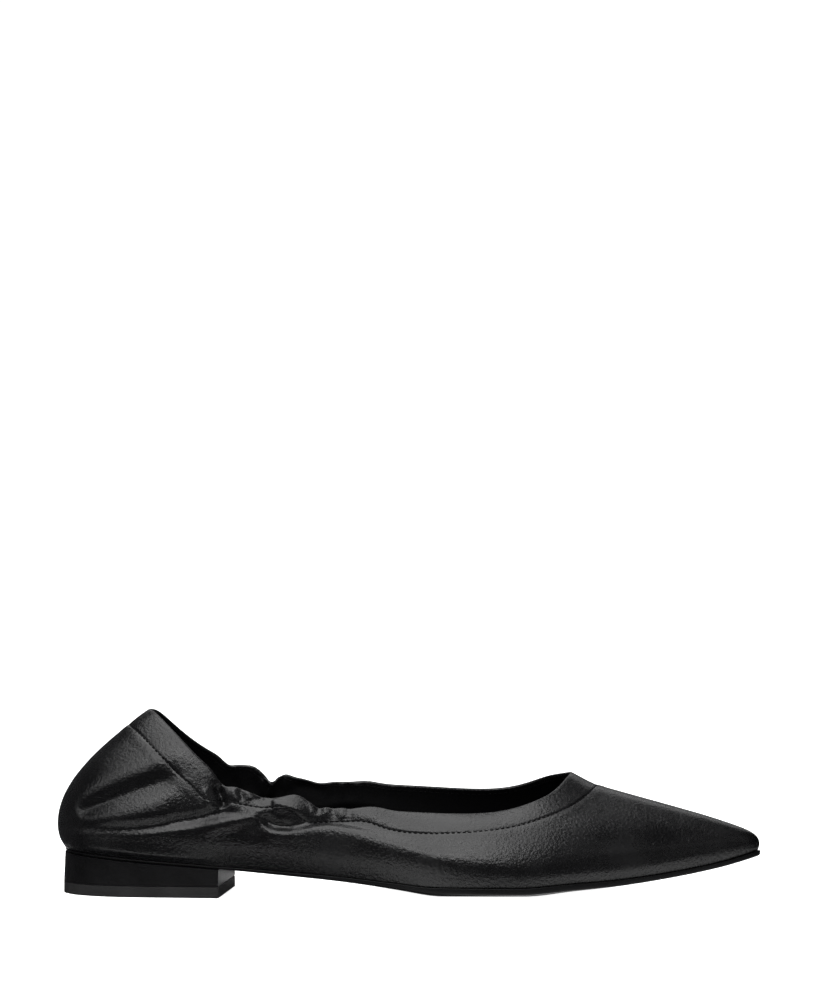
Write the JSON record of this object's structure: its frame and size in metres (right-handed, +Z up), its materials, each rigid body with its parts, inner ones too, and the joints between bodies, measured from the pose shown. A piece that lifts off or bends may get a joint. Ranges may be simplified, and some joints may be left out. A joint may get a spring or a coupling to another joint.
{
  "type": "pointed ballet flat shoe",
  "caption": "Right pointed-toe leather ballet flat with a gathered elastic collar band, thin outsole and low covered block heel.",
  "frame": {"origin": "on the floor under the middle of the shoe's box", "axes": "+X from heel to toe, +Y to the medial (inner) side, +Z up"},
  "size_m": [0.2738, 0.0796, 0.0716],
  "materials": {
    "upper_leather": "soft fine-grained black leather with a satin sheen",
    "insole_leather": "smooth matte black lining leather",
    "outsole_leather": "black sole leather, edge inked and waxed",
    "heel_leather": "glossier grained black leather, wrapped tight",
    "top_piece_rubber": "matte dark grey rubber"
  },
  "bodies": {
    "root": {"upper": "upper_leather", "insole": "insole_leather", "outsole": "outsole_leather", "heel_block": "heel_leather", "heel_top_piece": "top_piece_rubber"}
  },
  "joints": []
}
